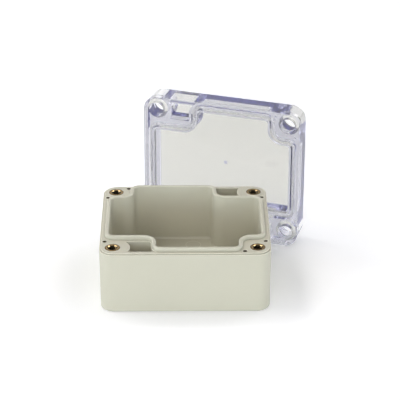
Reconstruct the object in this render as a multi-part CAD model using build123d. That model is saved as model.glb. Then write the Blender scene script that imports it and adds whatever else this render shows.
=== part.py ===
from build123d import *
import os

os.makedirs("parts", exist_ok=True)

# A small sealed enclosure, taken apart: the moulded base stands level, and its clear lid stands on
# one long side behind the base. The origin is the centre of the base's underside. Sizes are in
# millimetres and angles in degrees. Front is -Y and left is -X, as seen with the lid behind.

# Outside of the closed enclosure
length = 65.0                 # along X
width = 58.0                  # along Y
base_height = 25.0            # underside to the sealing flange
lid_height = 10.0             # sealing flange to the lid's outer face
corner_radius = 5.5           # upright corners of both mouldings
outer_draft = 0.4             # both mouldings are widest where they meet
foot_edge = 0.8               # rounded edge round the underside
lid_edge = 0.7                # rounded edge round the lid's outer face

# Lap joint round the outside of the sealing flange
rebate_width = 0.6            # step cut into the base's rim
rebate_drop = 0.5
lap_clearance = 0.1           # between the lid's lip and the base's step

# Tongue on the base, which presses the gasket into the lid's groove
seal_inset = 3.3              # outer face to the tongue's inner face
tongue_width = 1.45
tongue_height = 1.5
tongue_edge = 0.3             # bevelled top edges
tongue_clearance = 0.12       # each side, in the lid's groove

# Corner posts, which carry the threaded inserts
insert_inset_x = 5.1          # outer face to the insert's axis
insert_inset_y = 5.5
post_reach_x = 7.1            # insert's axis to the tongue's inner face
post_reach_y = 7.55
pocket_reach_x = 16.4         # the same, on the two posts that hold a wall screw pocket
post_radius = 5.0             # the posts' rounded corners in the cavity
cavity_corner = 2.2           # hollow corners of the cavity

# Inside of the base
floor_thickness = 3.0
cavity_draft = 0.5
floor_edge = 0.8              # bevel round the cavity's floor

# Wall screw pockets in the base, at the front left and the back right
pocket_boss_radius = 6.6      # round the insert's axis
pocket_wall = 2.15            # outer face to the pocket
pocket_land = 1.3             # flange left between the pocket and the tongue's long run
pocket_gap = 0.3              # flange left beside the tongue's corner
pocket_floor = 4.0
wall_hole_diameter = 4.2

# Threaded brass inserts
thread_diameter = 4.0
thread_core_diameter = 3.3
insert_diameter = 5.85
insert_length = 8.0
insert_bite = 0.15            # the knurl bites this far into its bore, all round
insert_relief = 1.5           # depth of the bore below the insert

# Locating pips on the lid, and their holes in the base's flange
pip_diameter = 1.3
pip_height = 0.8
pip_hole_diameter = 1.7
pip_hole_depth = 1.5
pip_inset_x = 1.95            # outer face to the pips on the short sides
pip_inset_y = 2.35            # outer face to the pips on the long sides
pip_step = 4.9                # insert's axis to the pip, along the side

# Lid
plate_thickness = 2.5
rib_width = 0.8               # inner rib beside the groove
hollow_draft = 1.5            # walls of the hollow under the plate
lid_pocket_land = 2.8         # between the groove's long run and the pocket
lid_pocket_gap = 1.0          # between the groove's corner and the pocket
lid_pocket_wall = 1.7         # outer face to the pocket
screw_hole_diameter = 6.0
shoulder_height = 3.5         # sealing flange to the shoulder that the screw head presses on
gate_mark_diameter = 1.4
gate_mark_depth = 0.15

# Gasket, as moulded, lying loose in the groove
gasket_width = 1.45
gasket_height = 1.6
gasket_squeeze = 0.3          # how far the tongue presses it when the lid is closed
gasket_edge = 0.45

# Lid screws
screw_length = 10.0           # below the head
screw_head_diameter = 8.0
screw_head_height = 3.1
screw_head_bevel = 1.6        # the head is domed, and this is its plain form
head_clearance = 0.25         # each side, in the lid's recess
recess_span = 4.4             # cross recess
recess_slot = 1.0
recess_depth = 1.9

# How the taken-off pieces lie
lid_yaw = 18.4                # the lid's underside is turned this far from the front
lid_shift = 15.2              # lid's centre to the base's back right corner, along the lid
lean_gap = 0.25               # between that corner and the lid
screw_gap = 0.15              # between a loose screw and the cavity's floor
loose_wall_gap = 2.4          # cavity's front wall to the first row of loose screws
loose_spread = 13.0           # between neighbouring loose screws
loose_screws = [              # column and row, from the middle of the front bay, and the way it points
    (-0.45, 0.0, 97.0),
    (0.4, 0.05, 262.0),
    (-0.75, 0.95, 205.0),
    (0.7, 0.9, 338.0),
]

half_length = length / 2
half_width = width / 2
insert_x = half_length - insert_inset_x
insert_y = half_width - insert_inset_y
post_edge_y = insert_y - post_reach_y
step_height = base_height - rebate_drop
groove_depth = tongue_height + gasket_height - gasket_squeeze
hollow_depth = lid_height - plate_thickness
head_recess_diameter = screw_head_diameter + 2 * head_clearance
lip_drop = rebate_drop - lap_clearance
lip_width = rebate_width - lap_clearance

inserts = {
    "insert_front_left": (-insert_x, -insert_y),
    "insert_front_right": (insert_x, -insert_y),
    "insert_back_left": (-insert_x, insert_y),
    "insert_back_right": (insert_x, insert_y),
}


def housing_outline(inset):
    """Outside of both mouldings, drawn in from the outer face."""
    return RectangleRounded(length - 2 * inset, width - 2 * inset, corner_radius - inset)


def seal_outline(grow):
    """The tongue's inner face, grown outwards. It steps round four posts, two of them wide."""
    x_wall = half_length - seal_inset + grow
    y_wall = half_width - seal_inset + grow
    x_post = insert_x - post_reach_x + grow
    x_pocket_post = insert_x - pocket_reach_x + grow
    y_post = post_edge_y + grow
    hollow = cavity_corner + grow
    round_post = post_radius - grow
    half = [
        (x_wall, -y_post, hollow),
        (x_wall, y_post, hollow),
        (x_pocket_post, y_post, round_post),
        (x_pocket_post, y_wall, hollow),
        (-x_post, y_wall, hollow),
        (-x_post, y_post, round_post),
    ]
    turned = [(-x, -y, radius) for x, y, radius in half]
    points = [(x, y) for x, y, radius in half + turned]
    radii = [radius for x, y, radius in half + turned]
    return make_face(FilletPolyline(*points, radius=radii, close=True))


def pocket_outline(wall, land, gap):
    """Front left pocket, between the insert's boss, the seal and a wall left outside."""
    x_boss, y_boss = inserts["insert_front_left"]
    x_inner = x_boss + pocket_reach_x + cavity_corner
    y_outer = -half_width + wall
    y_inner = -post_edge_y - tongue_width - land
    centre = Pos((x_boss + x_inner) / 2, (y_outer + y_inner) / 2)
    box = centre * Rectangle(x_inner - x_boss, y_inner - y_outer)
    boss = Pos(x_boss, y_boss) * Circle(pocket_boss_radius)
    return box - boss - seal_outline(tongue_width + gap)


def wall_hole_place():
    """Axis of the wall screw in the front left pocket: midway between its walls."""
    x_boss = -insert_x + pocket_boss_radius
    x_seal = -insert_x + pocket_reach_x - tongue_width - pocket_gap
    y_outer = -half_width + pocket_wall
    y_inner = -post_edge_y - tongue_width - pocket_land
    return (x_boss + x_seal) / 2, (y_outer + y_inner) / 2


def pip_places():
    """Places beside the inserts, on each side that no pocket takes up."""
    x_side = half_length - pip_inset_x
    y_side = insert_y - pip_step
    x_end = insert_x - pip_step
    y_end = half_width - pip_inset_y
    sides = [(x, y) for x in (-x_side, x_side) for y in (-y_side, y_side)]
    return sides + [(x_end, -y_end), (-x_end, y_end)]


def level_edges(solid, height):
    """Edges that lie level at one height."""
    near = 0.001
    return solid.edges().filter_by_position(Axis.Z, height - near, height + near)


def drill(places, radius, bottom, top):
    """Upright round holes from one height to another."""
    middle = (bottom + top) / 2
    return [Pos(x, y, middle) * Cylinder(radius, top - bottom) for x, y in places]


def make_base():
    """Base: a drafted block with a stepped rim, a tongue, a cavity, pockets and holes."""
    block = extrude(Pos(0, 0, step_height) * housing_outline(0), step_height,
                    dir=(0, 0, -1), taper=outer_draft)
    block = fillet(level_edges(block, 0), foot_edge)
    rim = extrude(Pos(0, 0, step_height) * housing_outline(rebate_width), rebate_drop)
    ring = seal_outline(tongue_width) - seal_outline(0)
    tongue = extrude(Pos(0, 0, base_height) * ring, tongue_height)
    tongue = chamfer(level_edges(tongue, base_height + tongue_height), tongue_edge)

    cavity = extrude(Pos(0, 0, base_height) * seal_outline(0), base_height - floor_thickness,
                     dir=(0, 0, -1), taper=cavity_draft)
    cavity = chamfer(level_edges(cavity, floor_thickness), floor_edge)
    pocket = extrude(Pos(0, 0, base_height) * pocket_outline(pocket_wall, pocket_land, pocket_gap),
                     pocket_floor - base_height)

    hole_x, hole_y = wall_hole_place()
    wall_holes = drill([(hole_x, hole_y), (-hole_x, -hole_y)], wall_hole_diameter / 2,
                       0, pocket_floor)
    insert_bores = drill(inserts.values(), insert_diameter / 2 - insert_bite,
                         base_height - insert_length - insert_relief, base_height)
    pip_holes = drill(pip_places(), pip_hole_diameter / 2,
                      base_height - pip_hole_depth, base_height)

    base = block + rim + tongue - cavity - pocket - Rot(0, 0, 180) * pocket
    return base - wall_holes - insert_bores - pip_holes


def make_lid():
    """Lid as it sits when closed, with the sealing flange at height 0 and the plate on top."""
    shell = extrude(housing_outline(0), lid_height, taper=outer_draft)
    shell = fillet(level_edges(shell, lid_height), lid_edge)
    lip_band = housing_outline(0) - housing_outline(lip_width)
    lip = extrude(lip_band, -lip_drop)
    pips = [Pos(x, y, -pip_height / 2) * Cylinder(pip_diameter / 2, pip_height)
            for x, y in pip_places()]

    groove_band = seal_outline(tongue_width + tongue_clearance) - seal_outline(-tongue_clearance)
    groove = extrude(groove_band, groove_depth)
    hollow = extrude(seal_outline(-tongue_clearance - rib_width), hollow_depth, taper=hollow_draft)
    pocket_gap_beside_groove = tongue_clearance + lid_pocket_gap
    pocket = extrude(pocket_outline(lid_pocket_wall, lid_pocket_land, pocket_gap_beside_groove),
                     hollow_depth)

    screw_holes = drill(inserts.values(), screw_hole_diameter / 2, 0, shoulder_height)
    head_recesses = drill(inserts.values(), head_recess_diameter / 2, shoulder_height, lid_height)
    gate_mark = drill([(0, 0)], gate_mark_diameter / 2, lid_height - gate_mark_depth, lid_height)

    lid = shell + lip + pips - groove - hollow - pocket - Rot(0, 0, 180) * pocket
    return lid - screw_holes - head_recesses - gate_mark


def make_gasket():
    """Gasket: one closed loop that fills the bottom of the lid's groove."""
    middle = tongue_width / 2
    band = seal_outline(middle + gasket_width / 2) - seal_outline(middle - gasket_width / 2)
    loop = extrude(Pos(0, 0, groove_depth) * band, -gasket_height)
    return chamfer(level_edges(loop, groove_depth - gasket_height), gasket_edge)


def make_insert():
    """Brass insert, standing with its countersunk mouth at height 0."""
    outer = insert_diameter / 2
    core = thread_core_diameter / 2
    mouth = (thread_diameter - thread_core_diameter) / 2
    profile = Polyline((core, -mouth), (core + mouth, 0), (outer, 0), (outer, -insert_length),
                       (core, -insert_length), close=True)
    return revolve(make_face(Plane.XZ * profile), Axis.Z)


def make_screw():
    """Lid screw with a low head and a cross recess, its middle at the origin."""
    head = Cylinder(screw_head_diameter / 2, screw_head_height,
                    align=(Align.CENTER, Align.CENTER, Align.MIN))
    head = chamfer(level_edges(head, screw_head_height), screw_head_bevel)
    shank = Cylinder(thread_diameter / 2, screw_length,
                     align=(Align.CENTER, Align.CENTER, Align.MAX))
    cross = Rectangle(recess_span, recess_slot) + Rectangle(recess_slot, recess_span)
    recess = extrude(Pos(0, 0, screw_head_height) * cross, -recess_depth)
    middle = (screw_head_height - screw_length) / 2
    return Pos(0, 0, -middle) * (head + shank - recess)


def standing_lid_pose(lid):
    """Lid on one long side behind the base, its lip just clear of the back right corner."""
    turn = Rot(0, 0, -lid_yaw) * Rot(-90 - outer_draft, 0, 0)
    away = Vector(0, 1, 0).rotate(Axis.Z, -lid_yaw)
    along = Vector(1, 0, 0).rotate(Axis.Z, -lid_yaw)
    corner = Vector(half_length - corner_radius, half_width - corner_radius, 0)
    stand_off = corner_radius + lean_gap + lip_drop
    centre = corner + away * stand_off - along * lid_shift
    lift = -(turn * lid).bounding_box().min.Z
    return Pos(centre.X, centre.Y, lift) * turn


def loose_place(column, row):
    """Middle of a loose screw: counted across the front bay, and back from its front wall."""
    x_middle = (pocket_reach_x - post_reach_x) / 2
    y_first = -half_width + seal_inset + loose_wall_gap + (screw_length + screw_head_height) / 2
    return x_middle + column * loose_spread, y_first + row * loose_spread


def lay_screw(screw, x, y, yaw):
    """Screw lying in the cavity, on the rim of its head and the tip of its shank."""
    drop = (screw_head_diameter - thread_diameter) / 2
    tilt = Vector(screw_length, drop, 0).get_angle(Vector(1, 0, 0))
    lying = Rot(0, 0, yaw) * Rot(0, 90 - tilt, 0) * screw
    lift = floor_thickness + screw_gap - lying.bounding_box().min.Z
    return Pos(x, y, lift) * lying


def save(name, shape):
    export_step(shape, f"parts/{name}.step")


closed_lid = make_lid()
lid_pose = standing_lid_pose(closed_lid)
save("base", make_base())
save("lid", lid_pose * closed_lid)
save("gasket", lid_pose * make_gasket())
insert = make_insert()
for name, (x, y) in inserts.items():
    save(name, Pos(x, y, base_height) * insert)
screw = make_screw()
for number, (column, row, yaw) in enumerate(loose_screws, start=1):
    save(f"lid_screw_{number}", lay_screw(screw, *loose_place(column, row), yaw))
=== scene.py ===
import math

import bmesh
import bpy
from mathutils import Matrix, Vector


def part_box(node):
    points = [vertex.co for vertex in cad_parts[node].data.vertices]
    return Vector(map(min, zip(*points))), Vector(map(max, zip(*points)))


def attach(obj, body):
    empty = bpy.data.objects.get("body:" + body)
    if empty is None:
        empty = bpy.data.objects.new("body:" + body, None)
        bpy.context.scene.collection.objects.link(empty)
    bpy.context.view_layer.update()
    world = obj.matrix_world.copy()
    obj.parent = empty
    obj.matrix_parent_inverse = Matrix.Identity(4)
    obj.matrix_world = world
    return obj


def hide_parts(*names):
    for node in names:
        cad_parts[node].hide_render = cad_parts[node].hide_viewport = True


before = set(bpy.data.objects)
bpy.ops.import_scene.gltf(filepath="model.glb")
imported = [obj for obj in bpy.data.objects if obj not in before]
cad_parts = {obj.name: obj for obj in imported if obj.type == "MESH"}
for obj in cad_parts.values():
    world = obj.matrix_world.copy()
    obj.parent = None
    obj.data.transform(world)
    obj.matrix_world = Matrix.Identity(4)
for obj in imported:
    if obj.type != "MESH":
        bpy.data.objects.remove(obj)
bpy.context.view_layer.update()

# The table and the light. White paper lies under the box, in a tent of white cloth that glows near
# the table and in a band high up. Four soft lamps stand at the left, behind and in front, and two
# bright panes behind add glints. Seen straight, in gloss or through plastic, all is plain white,
# save that the paper glows less round the box: a painted shadow.

scene = bpy.context.scene
scene.view_settings.view_transform = "Standard"


def new_material(name):
    """An empty node material, ready for shaders."""
    material = bpy.data.materials.new(name)
    material.use_nodes = True
    material.node_tree.nodes.clear()
    return material


def add_node(tree, kind, inputs=None, **settings):
    """One node, with its settings, and its sockets set to values or linked to other sockets."""
    node = tree.nodes.new(kind)
    for name, value in settings.items():
        setattr(node, name, value)
    for key, value in (inputs or {}).items():
        if isinstance(value, bpy.types.NodeSocket):
            tree.links.new(value, node.inputs[key])
        else:
            node.inputs[key].default_value = value
    return node


def maths(tree, operation, *values):
    """One Math node on values or sockets."""
    return add_node(tree, "ShaderNodeMath", dict(enumerate(values)), operation=operation).outputs[0]


def vector_maths(tree, operation, *values):
    """One Vector Math node. A length, a distance or a dot product comes out as a number."""
    node = add_node(tree, "ShaderNodeVectorMath", dict(enumerate(values)), operation=operation)
    is_number = operation in ("LENGTH", "DISTANCE", "DOT_PRODUCT")
    return node.outputs["Value" if is_number else "Vector"]


def split(tree, vector):
    """The X, Y and Z of a vector, by name."""
    return add_node(tree, "ShaderNodeSeparateXYZ", {0: vector}).outputs


def own_coordinates(tree, kind="Object"):
    """Places or normals on the piece itself, which move with it."""
    return add_node(tree, "ShaderNodeTexCoord").outputs[kind]


def mixed_shader(tree, share, first, second):
    """The first shader, giving way to the second by a share."""
    return add_node(tree, "ShaderNodeMixShader", {0: share, 1: first.outputs[0],
                                                  2: second.outputs[0]}).outputs[0]


def seen_directly(tree):
    """1 for rays that look at the backdrop straight, in a reflection or through clear plastic."""
    before_first_scatter = 0.5
    path = add_node(tree, "ShaderNodeLightPath").outputs
    eye_or_gloss = maths(tree, "MAXIMUM", path["Is Camera Ray"], path["Is Glossy Ray"])
    looking = maths(tree, "MAXIMUM", eye_or_gloss, path["Is Transmission Ray"])
    unscattered = maths(tree, "LESS_THAN", path["Diffuse Depth"], before_first_scatter)
    return maths(tree, "MULTIPLY", looking, unscattered)


def grey(value):
    """A grey as a colour."""
    return (value, value, value, 1)


def blend(tree, value, *stops):
    """Colours blended by a value, each stop a position and a colour."""
    node = add_node(tree, "ShaderNodeValToRGB", {"Fac": value})
    elements = node.color_ramp.elements
    while len(elements) < len(stops):
        elements.new(1.0)
    for element, (position, colour) in zip(elements, stops):
        element.position = position
        element.color = colour
    return node.outputs["Color"]


def ramp(tree, value, low, high, start=0.3, end=0.7):
    """Two colours or greys, blended by a value between a start and an end."""
    return blend(tree, value, (start, low), (end, high))


tent_light = 2.9
tent_right_dimming = 0.25
tent_low = (0.915, 1.01, 1.06, 1)
tent_high = (0.39, 0.355, 0.317, 1)
tent_dark = (0.02, 0.02, 0.02, 1)
tent_bands = [(0.0, tent_low), (0.22, tent_low), (0.27, tent_dark),
              (0.68, tent_dark), (0.72, tent_high), (0.83, tent_high), (0.87, tent_dark)]
backdrop_white = (1, 1, 1, 1)
lamp_colour = (1.0, 0.968, 0.92)
paper_half_width = 3.0
paper_shade = 0.93
paper_seen = (0.965, 0.975, 1.0, 1)
paper_glow_colour = (0.96, 0.985, 1.08, 1)
paper_glow_in_painted_shadow = 0.10
paper_glow_far = 0.33
painted_shadow_reach = (0.03, 0.06)
painted_shadow_stretch = (0.8, 1.3, 1.0)

world = bpy.data.worlds.new("studio")
world.use_nodes = True
tree = world.node_tree
tree.nodes.clear()
scene.world = world
towards = split(tree, own_coordinates(tree, "Generated"))
cloth = blend(tree, towards["Z"], *tent_bands)
dimming = maths(tree, "MULTIPLY", maths(tree, "MAXIMUM", towards["X"], 0.0), tent_right_dimming)
tent_level = maths(tree, "MULTIPLY", maths(tree, "SUBTRACT", 1.0, dimming), tent_light)
tent = add_node(tree, "ShaderNodeBackground", {"Color": cloth, "Strength": tent_level})
backdrop = add_node(tree, "ShaderNodeBackground", {"Color": backdrop_white, "Strength": 1.0})
sky = mixed_shader(tree, seen_directly(tree), tent, backdrop)
add_node(tree, "ShaderNodeOutputWorld", {"Surface": sky})

paper = new_material("white_paper")
tree = paper.node_tree
lit_paper = add_node(tree, "ShaderNodeBsdfDiffuse", {"Color": grey(paper_shade)})
seen_paper = add_node(tree, "ShaderNodeBsdfDiffuse", {"Color": paper_seen})
# The paper glows less near the box than far from it: a painted shadow round the box.
on_paper = vector_maths(tree, "MULTIPLY", own_coordinates(tree), painted_shadow_stretch)
from_box = vector_maths(tree, "LENGTH", on_paper)
glow_with_painted_shadow = ramp(tree, from_box, grey(paper_glow_in_painted_shadow), grey(paper_glow_far), *painted_shadow_reach)
glow = add_node(tree, "ShaderNodeEmission", {"Color": paper_glow_colour, "Strength": glow_with_painted_shadow})
seen_total = add_node(tree, "ShaderNodeAddShader", {0: seen_paper.outputs[0], 1: glow.outputs[0]})
paper_surface = mixed_shader(tree, seen_directly(tree), lit_paper, seen_total)
add_node(tree, "ShaderNodeOutputMaterial", {"Surface": paper_surface})

corners = [(-1, -1), (1, -1), (1, 1), (-1, 1)]
table_mesh = bpy.data.meshes.new("table")
table_mesh.from_pydata([(x * paper_half_width, y * paper_half_width, 0) for x, y in corners],
                       [], [(0, 1, 2, 3)])
table_mesh.materials.append(paper)
table = bpy.data.objects.new("table", table_mesh)
scene.collection.objects.link(table)

# Each lamp faces the box: its place, the side of its square, and its level.
lamps = {"left": ((-0.50, 0.02, 0.80), 0.34, 0.14),
         "back_left": ((-0.47, 0.34, 0.82), 0.2, 0.12),
         "back_right": ((0.47, 0.34, 0.82), 0.2, 0.09),
         "front": ((-0.12, -0.97, 0.44), 0.34, 0.20)}
glint_panes = {"glint_left": ((-0.47, 0.34, 0.82), 0.28, 1.2),
               "glint_right": ((0.47, 0.34, 0.82), 0.28, 1.2)}

for name, (place, size, level) in {**lamps, **glint_panes}.items():
    place = Vector(place)
    lamp_data = bpy.data.lights.new(name, "AREA")
    lamp_data.shape = "SQUARE"
    lamp_data.size = size
    lamp_data.color = lamp_colour
    lamp_data.energy = level * (math.pi * place.length) ** 2
    lamp = bpy.data.objects.new(name, lamp_data)
    lamp.location = place
    lamp.rotation_euler = place.to_track_quat("Z", "Y").to_euler()
    lamp.visible_diffuse = name in lamps
    scene.collection.objects.link(lamp)

# Light takes many turns inside the clear lid before it comes out again, and each one is followed.
scene.cycles.max_bounces = 40
scene.cycles.glossy_bounces = 32
scene.cycles.transmission_bounces = 32

# The camera. It looks down at the open box from just in front, through a long lens, and was placed
# from the corners of the base and of the lid as the photograph shows them.

look_at = Vector((0.005819, 0, 0.033154))
camera_distance = 0.7009
camera_elevation = math.radians(26.557)
camera_azimuth = math.radians(-0.537)
lens_length = 163.25
film_width = 36.0

back = Vector((math.sin(camera_azimuth) * math.cos(camera_elevation),
               -math.cos(camera_azimuth) * math.cos(camera_elevation),
               math.sin(camera_elevation)))
camera_data = bpy.data.cameras.new("camera")
camera_data.lens = lens_length
camera_data.sensor_width = film_width
camera = bpy.data.objects.new("camera", camera_data)
camera.location = look_at + back * camera_distance
camera.rotation_euler = (-back).to_track_quat("-Z", "Y").to_euler()
scene.collection.objects.link(camera)
scene.camera = camera

# The base: one injection moulding in warm pale grey plastic, open at the top, with a fine grain and
# a colour that drifts a little where the plastic has flowed. Its edges carry a painted highlight,
# and painted shade darkens its creases, the pip holes and the seats where the inserts' knurls bite.


def finish_of(piece, material):
    """Gives a piece one material."""
    piece.data.materials.clear()
    piece.data.materials.append(material)


def in_millimetres(tree):
    """The piece's own coordinates, in millimetres."""
    return add_node(tree, "ShaderNodeVectorMath", {0: own_coordinates(tree), "Scale": 1000.0},
                    operation="SCALE").outputs[0]


def soft_noise(tree, place, per_millimetre, detail=3.0):
    """Noise with a grain counted per millimetre."""
    return add_node(tree, "ShaderNodeTexNoise", {"Vector": place, "Scale": per_millimetre,
                                                 "Detail": detail}).outputs["Fac"]


def bumped(tree, height, strength, depth):
    """A surface roughened by a height, in metres, for a shader's normal."""
    return add_node(tree, "ShaderNodeBump", {"Height": height, "Strength": strength,
                                             "Distance": depth}).outputs[0]


def mixed(tree, share, first, second):
    """The first colour, giving way to the second by a share."""
    return add_node(tree, "ShaderNodeMix", {0: share, 6: first, 7: second},
                    data_type="RGBA").outputs[2]


def on_one_quarter(tree, across, along):
    """Two coordinates of a piece with four like quarters, folded onto one quarter."""
    return add_node(tree, "ShaderNodeCombineXYZ", {0: maths(tree, "ABSOLUTE", across),
                                                   1: maths(tree, "ABSOLUTE", along)}).outputs[0]


def openness(tree, reach, **settings):
    """1 on open faces, and less where the piece's own faces stand within a reach."""
    return add_node(tree, "ShaderNodeAmbientOcclusion", {"Distance": reach}, samples=8,
                    only_local=True, **settings).outputs["AO"]


plastic_deep = (0.618, 0.606, 0.511, 1)
plastic_pale = (0.630, 0.618, 0.521, 1)
plastic_sheen = (0.36, 0.44)
plastic_ior = 1.5
flow_scale = 0.06
sheen_scale = 1.2
grain_scale = 5.0
grain_strength = 0.25
grain_depth = 0.00003
pip_hole_radius = 0.88
pip_hole_middle = 24.2
pip_hole_half_depth = 0.73
pip_hole_places = [(30.55, 18.6, 0), (22.5, 26.65, 0)]
pip_hole_painted_shade = (0.12, 0.095, 0.052, 1)
insert_place = (27.4, 23.5, 0)
seat_radius = 2.93
seat_foot = 20.0
seat_painted_shade = (0.085, 0.055, 0.03, 1)
crease_reach = 0.001
crease_shade_share = 0.7
crease_span = (0.4, 0.85)
crease_painted_shade = (0.30, 0.28, 0.22, 1)
edge_reach = 0.0005
edge_highlight_share = 1.0
edge_span = (0.45, 0.85)
edge_painted_highlight = (0.90, 0.88, 0.78, 1)

base_plastic = new_material("base_plastic")
tree = base_plastic.node_tree
place = in_millimetres(tree)
drift = ramp(tree, soft_noise(tree, place, flow_scale, detail=2.0), plastic_deep, plastic_pale)
# Painted shade: faces that stand close to other faces of the piece are darkened, as if shade fell in
# its creases.
in_crease_shade = ramp(tree, openness(tree, crease_reach), grey(crease_shade_share), grey(0), *crease_span)
with_crease_shade = mixed(tree, in_crease_shade, drift, crease_painted_shade)
# Painted highlight: the piece's convex edges are made paler, as if light caught them.
on_edge_highlight = ramp(tree, openness(tree, edge_reach, inside=True), grey(edge_highlight_share), grey(0), *edge_span)
with_edge_highlight = mixed(tree, on_edge_highlight, with_crease_shade, edge_painted_highlight)

spot = split(tree, place)
folded = on_one_quarter(tree, spot["X"], spot["Y"])
# Painted shade: the plastic round each insert's top, where the knurl's teeth stand, is darkened as if
# the gaps between them lay in shade.
to_insert = vector_maths(tree, "DISTANCE", folded, insert_place)
in_seat = maths(tree, "MULTIPLY", maths(tree, "LESS_THAN", to_insert, seat_radius),
                maths(tree, "GREATER_THAN", spot["Z"], seat_foot))
with_seat_shade = mixed(tree, in_seat, with_edge_highlight, seat_painted_shade)
# Painted shade: the walls of the pip holes are darkened, as shade falls inside them.
to_holes = [vector_maths(tree, "DISTANCE", folded, hole) for hole in pip_hole_places]
near_hole = maths(tree, "LESS_THAN", maths(tree, "MINIMUM", *to_holes), pip_hole_radius)
in_hole_shade = maths(tree, "MULTIPLY", near_hole,
                maths(tree, "COMPARE", spot["Z"], pip_hole_middle, pip_hole_half_depth))
shade = mixed(tree, in_hole_shade, with_seat_shade, pip_hole_painted_shade)

sheen = ramp(tree, soft_noise(tree, place, sheen_scale, detail=4.0), *map(grey, plastic_sheen))
grain = bumped(tree, soft_noise(tree, place, grain_scale), grain_strength, grain_depth)
plastic = add_node(tree, "ShaderNodeBsdfPrincipled", {"Base Color": shade, "Roughness": sheen,
                                                      "IOR": plastic_ior, "Normal": grain})
add_node(tree, "ShaderNodeOutputMaterial", {"Surface": plastic.outputs[0]})
finish_of(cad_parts["base"], base_plastic)

# The ejector marks on the cavity's floor: faint rings, where the round pins that push the moulding
# out of its mould have left their outline as a hair-thin raised line of the same plastic.

mm = 0.001
mark_radius = 3.0
mark_line = 0.07
mark_rise = 0.03
mark_sides = 48
mark_line_sides = 6
floor_height = 3.0
mark_places = [(3.3, 20.1), (22.0, 4.0), (-3.3, -20.1), (-22.0, -4.0)]


def socket_of(tree, name, kind, value=None):
    """A named input of a node tree."""
    socket = tree.interface.new_socket(name=name, in_out="INPUT", socket_type=kind)
    if value is not None:
        socket.default_value = value
    return socket


def made_real(tree, geometry, material):
    """Ends a tree: real faces, one material, one output."""
    tree.interface.new_socket(name="Part", in_out="OUTPUT", socket_type="NodeSocketGeometry")
    real = add_node(tree, "GeometryNodeRealizeInstances", {0: geometry})
    painted = add_node(tree, "GeometryNodeSetMaterial", {"Geometry": real.outputs[0],
                                                         "Material": material})
    add_node(tree, "NodeGroupOutput", {0: painted.outputs[0]})


def plain_copy(source, tree, values, name):
    """Runs a geometry tree on an object and keeps the result as a plain object at the origin."""
    modifier = source.modifiers.new(tree.name, "NODES")
    modifier.node_group = tree
    for item in tree.interface.items_tree:
        if item.in_out == "INPUT" and item.name in values:
            modifier[item.identifier] = values[item.name]
    scene.collection.objects.link(source)
    depsgraph = bpy.context.evaluated_depsgraph_get()
    mesh = bpy.data.meshes.new_from_object(source.evaluated_get(depsgraph))
    source.modifiers.remove(modifier)
    bpy.data.objects.remove(source)
    mesh.name = name
    return bpy.data.objects.new(name, mesh)


def points_object(name, points):
    """Loose points, for a geometry tree to start from."""
    mesh = bpy.data.meshes.new(name)
    mesh.from_pydata(points, [], [])
    return bpy.data.objects.new(name, mesh)


def ejector_mark_tree():
    """A flat ring round each point."""
    tree = bpy.data.node_groups.new("ejector_marks", "GeometryNodeTree")
    socket_of(tree, "Places", "NodeSocketGeometry")
    socket_of(tree, "Radius", "NodeSocketFloat", mark_radius * mm)
    socket_of(tree, "Line", "NodeSocketFloat", mark_line * mm)
    socket_of(tree, "Rise", "NodeSocketFloat", mark_rise * mm)
    socket_of(tree, "Material", "NodeSocketMaterial")
    given = add_node(tree, "NodeGroupInput").outputs
    circle = add_node(tree, "GeometryNodeCurvePrimitiveCircle",
                      {"Resolution": mark_sides, "Radius": given["Radius"]})
    line = add_node(tree, "GeometryNodeCurvePrimitiveCircle",
                    {"Resolution": mark_line_sides, "Radius": 1.0})
    flat = add_node(tree, "ShaderNodeCombineXYZ", {0: given["Line"], 1: given["Rise"], 2: 1.0})
    section = add_node(tree, "GeometryNodeTransform", {"Geometry": line.outputs["Curve"],
                                                       "Scale": flat.outputs[0]})
    ring = add_node(tree, "GeometryNodeCurveToMesh", {"Curve": circle.outputs["Curve"],
                                                      "Profile Curve": section.outputs[0]})
    rings = add_node(tree, "GeometryNodeInstanceOnPoints", {"Points": given["Places"],
                                                            "Instance": ring.outputs[0]})
    made_real(tree, rings.outputs[0], given["Material"])
    return tree


mark_points = [(x * mm, y * mm, floor_height * mm) for x, y in mark_places]
marks = plain_copy(points_object("marks", mark_points), ejector_mark_tree(),
                   {"Radius": mark_radius * mm, "Line": mark_line * mm, "Rise": mark_rise * mm,
                    "Material": base_plastic}, "ejector_marks")
scene.collection.objects.link(marks)
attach(marks, "base")

# The inserts: four threaded bushes turned from brass bar and pressed into the corner posts while hot,
# so that the plastic fills their knurl. The two knurled bands lean opposite ways and a plain waist
# parts them, which stops the insert from turning or pulling out. The mouth is countersunk.

sliver = 1e-6
thread_pitch = 0.7
flank_slope = 1.7
insert_core = 1.65
insert_thread_depth = 0.34
insert_countersink = 0.1
insert_mouth_angle = math.radians(30)
insert_dark_inside = 0.12
insert_teeth = 18
insert_tooth_depth = 0.40
insert_lean = 0.45
insert_proud = 0.02
insert_waist = 2.5
waist_half = 0.5
waist_and_slope = 0.7
broken_edge = 0.04
tail_bevel = 0.3
segments = 160
knurl_steps = 8
insert_thread_steps = 120


def stretch(start, end, steps=1, knurl=0.0, thread=0.0):
    """Profile points from start up to but not including end: radius, height, knurl and thread."""
    points = []
    for step in range(steps):
        share = step / steps
        points.append((start[0] + (end[0] - start[0]) * share,
                       start[1] + (end[1] - start[1]) * share, knurl, thread))
    return points


def triangle_wave(tree, value):
    """From 1 at whole numbers down to 0 half way between them."""
    centred = maths(tree, "SUBTRACT", maths(tree, "FRACT", value), 0.5)
    return maths(tree, "MULTIPLY", maths(tree, "ABSOLUTE", centred), 2.0)


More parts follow.
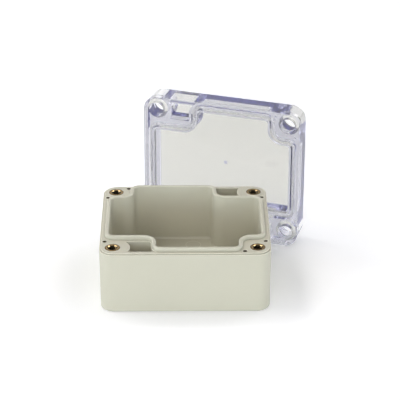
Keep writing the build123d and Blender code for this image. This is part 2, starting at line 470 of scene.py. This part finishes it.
def thread_wave(tree, value):
    """The same, with flat roots and crests and flanks of 60 degrees between them."""
    centred = maths(tree, "SUBTRACT", triangle_wave(tree, value), 0.5)
    steep = maths(tree, "ADD", maths(tree, "MULTIPLY", centred, flank_slope), 0.5)
    return maths(tree, "MINIMUM", maths(tree, "MAXIMUM", steep, 0.0), 1.0)


def product(tree, *values):
    """Several values or sockets multiplied together."""
    total = values[0]
    for value in values[1:]:
        total = maths(tree, "MULTIPLY", total, value)
    return total


def turned_part_tree():
    """A profile of points, turned round the upright axis, with a knurl and a thread cut into it."""
    tree = bpy.data.node_groups.new("turned_part", "GeometryNodeTree")
    socket_of(tree, "Profile", "NodeSocketGeometry")
    socket_of(tree, "Segments", "NodeSocketInt", segments)
    socket_of(tree, "Teeth", "NodeSocketInt", 0)
    socket_of(tree, "Thread Pitch", "NodeSocketFloat", thread_pitch * mm)
    for name in ("Tooth Depth", "Tooth Lean", "Thread Depth", "Bore Radius"):
        socket_of(tree, name, "NodeSocketFloat", 0.0)
    socket_of(tree, "Material", "NodeSocketMaterial")
    given = add_node(tree, "NodeGroupInput").outputs

    # A flat sheet has one row for each point of the profile, and a column for each step of the turn.
    count = add_node(tree, "GeometryNodeAttributeDomainSize",
                     {0: given["Profile"]}).outputs["Point Count"]
    sheet = add_node(tree, "GeometryNodeMeshGrid",
                     {"Size X": 1.0, "Size Y": 1.0, "Vertices Y": count,
                      "Vertices X": maths(tree, "ADD", given["Segments"], 1.0)}).outputs["Mesh"]
    position = add_node(tree, "GeometryNodeInputPosition").outputs[0]
    here = split(tree, position)
    turn = maths(tree, "ADD", here["X"], 0.5)
    along = maths(tree, "ADD", here["Y"], 0.5)
    row = maths(tree, "ROUND", maths(tree, "MULTIPLY", along, maths(tree, "SUBTRACT", count, 1.0)))

    def from_profile(kind, value):
        """A value of the profile's point in this row."""
        return add_node(tree, "GeometryNodeSampleIndex",
                        {"Geometry": given["Profile"], "Value": value, "Index": row},
                        data_type=kind).outputs[0]

    def layer(name):
        """One of the profile's layers in this row."""
        kept = add_node(tree, "GeometryNodeInputNamedAttribute", {"Name": name}, data_type="FLOAT")
        return from_profile("FLOAT", kept.outputs[0])

    def stored(geometry, name, value):
        """Keeps a value with the faces, for the material."""
        return add_node(tree, "GeometryNodeStoreNamedAttribute",
                        {"Geometry": geometry, "Name": name, "Value": value},
                        data_type="FLOAT").outputs[0]

    spot = split(tree, from_profile("FLOAT_VECTOR", position))
    radius, level = spot["X"], spot["Z"]
    knurl, thread = layer("knurl"), layer("thread")
    knurled = maths(tree, "ABSOLUTE", knurl)
    threaded = maths(tree, "ABSOLUTE", thread)

    lean = product(tree, knurl, given["Tooth Lean"], level)
    tooth = triangle_wave(tree, maths(tree, "ADD", product(tree, turn, given["Teeth"]), lean))
    pitch_count = maths(tree, "DIVIDE", level, given["Thread Pitch"])
    ridge = thread_wave(tree, maths(tree, "SUBTRACT", pitch_count, turn))
    cut = product(tree, knurled, given["Tooth Depth"], tooth)
    swell = product(tree, thread, given["Thread Depth"], ridge)
    reach = maths(tree, "ADD", maths(tree, "SUBTRACT", radius, cut), swell)

    # The bore and the roots of knurl and thread are marked, where the material paints shade.
    in_bore = maths(tree, "LESS_THAN", radius, given["Bore Radius"])
    in_groove = maths(tree, "MAXIMUM", product(tree, knurled, tooth), product(tree, threaded, ridge))
    marked = stored(stored(sheet, "bore", in_bore), "groove", in_groove)

    angle = maths(tree, "MULTIPLY", turn, math.tau)
    spun = add_node(tree, "ShaderNodeCombineXYZ",
                    {0: product(tree, reach, maths(tree, "COSINE", angle)),
                     1: product(tree, reach, maths(tree, "SINE", angle)), 2: level})
    shaped = add_node(tree, "GeometryNodeSetPosition", {"Geometry": marked,
                                                        "Position": spun.outputs[0]})
    closed = add_node(tree, "GeometryNodeMergeByDistance", {"Geometry": shaped.outputs[0],
                                                            "Distance": sliver})
    made_real(tree, closed.outputs[0], given["Material"])
    return tree


turned_part = turned_part_tree()


def turned(name, profile, values):
    """Turns a profile, given in millimetres, into a closed mesh whose faces point outwards."""
    source = points_object(name, [(r * mm, 0, z * mm) for r, z, knurl, thread in profile])
    for layer, column in (("knurl", 2), ("thread", 3)):
        attribute = source.data.attributes.new(layer, "FLOAT", "POINT")
        attribute.data.foreach_set("value", [point[column] for point in profile])
    piece = plain_copy(source, turned_part, values, name)
    shape = bmesh.new()
    shape.from_mesh(piece.data)
    bmesh.ops.recalc_face_normals(shape, faces=shape.faces)
    shape.to_mesh(piece.data)
    shape.free()
    return piece


tone_scale = 2.0
polish_scale = 4.0
scratch_scale = 14.0
scratch_strength = 0.3
scratch_depth = 0.000004
oily_polish = 0.1


def metal_finish(name, dark, light, polish, root, bore):
    """A turned metal with fine tool marks and an uneven polish, its roots and bore darkened as
    painted shade, and its bore smoother.
    """
    material = new_material(name)
    tree = material.node_tree
    place = in_millimetres(tree)
    in_root = add_node(tree, "ShaderNodeAttribute", attribute_name="groove").outputs["Fac"]
    in_bore = add_node(tree, "ShaderNodeAttribute", attribute_name="bore").outputs["Fac"]
    face = ramp(tree, soft_noise(tree, place, tone_scale), dark, light)
    tint = mixed(tree, in_root, mixed(tree, in_bore, face, bore), root)
    uneven = ramp(tree, soft_noise(tree, place, polish_scale), *map(grey, polish))
    scratches = bumped(tree, soft_noise(tree, place, scratch_scale), scratch_strength, scratch_depth)
    metal = add_node(tree, "ShaderNodeBsdfPrincipled",
                     {"Base Color": tint, "Metallic": 1.0, "Normal": scratches,
                      "Roughness": mixed(tree, in_bore, uneven, grey(oily_polish))})
    add_node(tree, "ShaderNodeOutputMaterial", {"Surface": metal.outputs[0]})
    return material


# The brass's knurl and thread roots and its bore are darkened: painted shade in its hollows and hole.
turned_brass = metal_finish("turned_brass", dark=(0.13, 0.085, 0.036, 1),
                            light=(0.44, 0.31, 0.14, 1), polish=(0.16, 0.28),
                            root=(0.012, 0.008, 0.005, 1), bore=(0.09, 0.068, 0.038, 1))

for name in [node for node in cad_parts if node.startswith("insert_")]:
    low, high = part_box(name)
    outer = (high[0] - low[0]) / 2 / mm
    bottom = (low[2] - high[2]) / mm
    middle = bottom / 2
    mouth = insert_core + insert_thread_depth + insert_countersink
    mouth_depth = (mouth - insert_core) * math.tan(insert_mouth_angle)
    rim = outer - insert_tooth_depth - broken_edge
    upper_band, upper_waist = middle + waist_and_slope, middle + waist_half
    lower_band, lower_waist = middle - waist_and_slope, middle - waist_half
    tail = bottom + tail_bevel
    profile = stretch((mouth, 0), (rim, 0), 3)
    profile += stretch((rim, 0), (outer, 0))
    profile += stretch((outer, 0), (outer, upper_band), knurl_steps, knurl=1.0)
    profile += stretch((outer, upper_band), (insert_waist, upper_waist), knurl=1.0)
    profile += stretch((insert_waist, upper_waist), (insert_waist, lower_waist))
    profile += stretch((insert_waist, lower_waist), (outer, lower_band))
    profile += stretch((outer, lower_band), (outer, tail), knurl_steps, knurl=-1.0)
    profile += stretch((outer, tail), (outer - tail_bevel, bottom), knurl=-1.0)
    profile += stretch((outer - tail_bevel, bottom), (insert_core, bottom), 2)
    profile += stretch((insert_core, bottom), (insert_core, tail))
    profile += stretch((insert_core, tail), (insert_core, -mouth_depth), insert_thread_steps,
                       thread=1.0)
    profile += stretch((insert_core, -mouth_depth), (mouth - broken_edge, -broken_edge), 4)
    profile += stretch((mouth - broken_edge, -broken_edge), (mouth, 0))
    profile.append(profile[0])
    piece = turned(name + "_brass", profile,
                   {"Segments": segments, "Teeth": insert_teeth, "Tooth Lean": insert_lean / mm,
                    "Tooth Depth": insert_tooth_depth * mm, "Thread Pitch": thread_pitch * mm,
                    "Thread Depth": insert_thread_depth * mm,
                    "Bore Radius": (mouth - insert_dark_inside) * mm, "Material": turned_brass})
    centre = ((low[0] + high[0]) / 2, (low[1] + high[1]) / 2, high[2] + insert_proud * mm)
    piece.data.transform(Matrix.Translation(centre))
    scene.collection.objects.link(piece)
    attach(piece, "base")
    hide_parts(name)

# The lid: one moulding in clear polycarbonate, whose thick walls turn light lavender. Its polished
# faces carry the slight waves of the mould and are toned greyer than the side walls. The walls of
# its rounded corners are toned greyer still, a painted shade. A clouded mark in the middle shows
# where the mould was filled.

clear_ior = 1.585
clear_polish = (0.015, 0.04)
wave_scale = 0.12
wave_strength = 0.2
wave_depth = 0.00004
haze_scale = 0.3
lavender_tone = (0.20, 0.21, 0.63, 1)
lavender_density = 43.0
face_colour = (0.825, 0.825, 0.74, 1)
side_colour = (0.95, 0.95, 0.93, 1)
corner_painted_shade = (0.58, 0.58, 0.55, 1)
gate_colour = (0.50, 0.51, 0.66, 1)
gate_place = (16.99, 43.77, 28.93)
gate_radius = 0.75
lid_axis = (0.3156, 0.9489, -0.0070)
lid_long_axis = (0.9489, -0.3156, 0.0)
lid_short_axis = (0.0022, 0.0066, 1.0)
flat_enough = 0.97
corner_centre = (27.0, 23.5, 0.0)
corner_wall_start = 5.15
corner_arc_start = 0.4

clear_plastic = new_material("clear_polycarbonate")
tree = clear_plastic.node_tree
place = in_millimetres(tree)
facing = vector_maths(tree, "DOT_PRODUCT", own_coordinates(tree, "Normal"), lid_axis)
on_face = maths(tree, "GREATER_THAN", maths(tree, "ABSOLUTE", facing), flat_enough)
from_gate = vector_maths(tree, "SUBTRACT", place, gate_place)
across, upwards = [vector_maths(tree, "DOT_PRODUCT", from_gate, axis)
                   for axis in (lid_long_axis, lid_short_axis)]
past_centre = vector_maths(tree, "SUBTRACT", on_one_quarter(tree, across, upwards), corner_centre)
out = split(tree, past_centre)
on_arc = maths(tree, "GREATER_THAN", maths(tree, "MINIMUM", out["X"], out["Y"]), corner_arc_start)
on_wall = maths(tree, "GREATER_THAN", vector_maths(tree, "LENGTH", past_centre), corner_wall_start)
# The walls of the rounded corners take a darker tint, painted shade that dims the light seen through
# them.
wall_colour = mixed(tree, maths(tree, "MULTIPLY", on_arc, on_wall), side_colour, corner_painted_shade)
body_colour = mixed(tree, on_face, wall_colour, face_colour)
on_gate = maths(tree, "LESS_THAN", vector_maths(tree, "LENGTH", from_gate), gate_radius)
clear_colour = mixed(tree, on_gate, body_colour, gate_colour)
waves = bumped(tree, soft_noise(tree, place, wave_scale, detail=2.0), wave_strength, wave_depth)
polish = ramp(tree, soft_noise(tree, place, haze_scale), *map(grey, clear_polish))
clear = add_node(tree, "ShaderNodeBsdfPrincipled",
                 {"Base Color": clear_colour, "Roughness": polish, "IOR": clear_ior,
                  "Transmission Weight": 1.0, "Normal": waves})
tone = add_node(tree, "ShaderNodeVolumeAbsorption", {"Color": lavender_tone,
                                                     "Density": lavender_density})
add_node(tree, "ShaderNodeOutputMaterial", {"Surface": clear.outputs[0], "Volume": tone.outputs[0]})
finish_of(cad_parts["lid"], clear_plastic)

# The gasket: one moulded loop of translucent silicone, pressed into the lid's groove, which it
# follows round the posts. The base's tongue squeezes it when the box is closed.

silicone_ior = 1.41
silicone_polish = 0.25
silicone_clearness = 0.97
silicone_cloudy = (0.91, 0.91, 0.96, 1)
silicone_clear = (0.95, 0.95, 0.98, 1)
cloud_scale = 0.8

silicone = new_material("silicone")
tree = silicone.node_tree
cloud = ramp(tree, soft_noise(tree, in_millimetres(tree), cloud_scale), silicone_cloudy,
             silicone_clear)
rubber = add_node(tree, "ShaderNodeBsdfPrincipled",
                  {"Base Color": cloud, "Roughness": silicone_polish, "IOR": silicone_ior,
                   "Transmission Weight": silicone_clearness})
add_node(tree, "ShaderNodeOutputMaterial", {"Surface": rubber.outputs[0]})
finish_of(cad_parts["gasket"], silicone)

# The four lid screws, cold-headed from stainless wire with rolled threads and a cross recess in a
# domed head. They lie loose on the cavity's floor, on the rims of their heads and their tips.

screw_length = 10.0
head_radius = 4.0
head_height = 3.1
head_side = 1.2
head_side_top = 1.1
head_bevel = 0.15
shank_radius = 2.0
neck_fillet = 0.2
neck = 0.5
tip_bevel = 0.6
tip_thread = -0.6
dome_steps = 14
screw_segments = 96
screw_thread_steps = 92
screw_thread_depth = 0.42
cross_span = 4.4
cross_slot = 1.0
cross_depth = 1.9
cross_taper = 0.6
cross_clear = 0.5
screw_yaws = {"lid_screw_1": 97.0, "lid_screw_2": 262.0,
              "lid_screw_3": 205.0, "lid_screw_4": 338.0}

# The thread's roots are darkened: painted shade in its hollows.
stainless_steel = metal_finish("stainless_steel", dark=(0.50, 0.50, 0.51, 1),
                               light=(0.62, 0.62, 0.63, 1), polish=(0.2, 0.34),
                               root=(0.20, 0.20, 0.21, 1), bore=(0.50, 0.50, 0.51, 1))

dome_rise = head_height - head_side
dome_angles = [math.pi / 2 * step / dome_steps for step in range(dome_steps)]
dome = [(head_radius * math.cos(angle), head_side + dome_rise * math.sin(angle), 0.0, 0.0)
        for angle in dome_angles]
tip_radius = shank_radius - tip_bevel
thread_end = tip_bevel - screw_length
head_to_tip = [(0.0, head_height, 0.0, 0.0)] + dome[::-1]
head_to_tip += stretch((head_radius, head_side_top), (head_radius, head_bevel))
head_to_tip += stretch((head_radius, head_bevel), (head_radius - head_bevel, 0))
head_to_tip += stretch((head_radius - head_bevel, 0), (shank_radius + neck_fillet, 0))
head_to_tip += stretch((shank_radius + neck_fillet, 0), (shank_radius, -neck_fillet))
head_to_tip += stretch((shank_radius, -neck_fillet), (shank_radius, -neck))
head_to_tip += stretch((shank_radius, -neck), (shank_radius, thread_end), screw_thread_steps,
                       thread=-1.0)
head_to_tip += stretch((shank_radius, thread_end), (tip_radius, -screw_length), thread=tip_thread)
head_to_tip += [(tip_radius, -screw_length, 0.0, 0.0), (0.0, -screw_length, 0.0, 0.0)]


def cross_cutter():
    """A tapered cross, which the header's punch leaves in the screw's head."""
    half_span, half_slot = cross_span / 2, cross_slot / 2
    arm = [(half_span, -half_slot), (half_span, half_slot), (half_slot, half_slot)]
    outline = []
    for quarter in range(4):
        outline += [Matrix.Rotation(math.pi / 2 * quarter, 2) @ Vector(point) for point in arm]
    levels = [(head_height + cross_clear, 1.0), (head_height, 1.0),
              (head_height - cross_depth, cross_taper)]
    shape = bmesh.new()
    loops = [[shape.verts.new((x * scale * mm, y * scale * mm, z * mm)) for x, y in outline]
             for z, scale in levels]
    shape.faces.new(loops[0])
    shape.faces.new(loops[-1][::-1])
    for upper, lower in zip(loops, loops[1:]):
        for index in range(len(outline)):
            after = (index + 1) % len(outline)
            shape.faces.new((upper[index], lower[index], lower[after], upper[after]))
    bmesh.ops.recalc_face_normals(shape, faces=shape.faces)
    mesh = bpy.data.meshes.new("cross_cutter")
    shape.to_mesh(mesh)
    shape.free()
    cutter = bpy.data.objects.new("cross_cutter", mesh)
    scene.collection.objects.link(cutter)
    return cutter


whole_screw = turned("whole_screw", head_to_tip,
                     {"Segments": screw_segments, "Thread Pitch": thread_pitch * mm,
                      "Thread Depth": screw_thread_depth * mm, "Material": stainless_steel})
scene.collection.objects.link(whole_screw)
cutter = cross_cutter()
punch = whole_screw.modifiers.new("cross", "BOOLEAN")
punch.object = cutter
punch.operation = "DIFFERENCE"
punch.solver = "EXACT"
depsgraph = bpy.context.evaluated_depsgraph_get()
punched = bpy.data.meshes.new_from_object(whole_screw.evaluated_get(depsgraph))
whole_screw.modifiers.remove(punch)
bpy.data.objects.remove(cutter)
bpy.data.objects.remove(whole_screw)

# The cut leaves faces without width, which are merged so that the mesh stays closed.
shape = bmesh.new()
shape.from_mesh(punched)
bmesh.ops.remove_doubles(shape, verts=shape.verts, dist=sliver)
bmesh.ops.dissolve_degenerate(shape, dist=sliver, edges=shape.edges)
bmesh.ops.triangulate(shape, faces=shape.faces)
shape.to_mesh(punched)
shape.free()

lying_tilt = math.atan2(head_radius - shank_radius, screw_length)
for name, yaw in screw_yaws.items():
    mesh = punched.copy()
    mesh.transform(Matrix.Rotation(math.radians(yaw), 4, "Z")
                   @ Matrix.Rotation(math.pi / 2 - lying_tilt, 4, "Y"))
    low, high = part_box(name)
    mine = [[limit(vertex.co[axis] for vertex in mesh.vertices) for limit in (min, max)]
            for axis in range(3)]
    shift = [(low[axis] + high[axis]) / 2 - sum(mine[axis]) / 2 for axis in (0, 1)]
    shift.append(low[2] - mine[2][0])
    mesh.transform(Matrix.Translation(shift))
    piece = bpy.data.objects.new(name + "_steel", mesh)
    scene.collection.objects.link(piece)
    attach(piece, name)
    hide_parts(name)
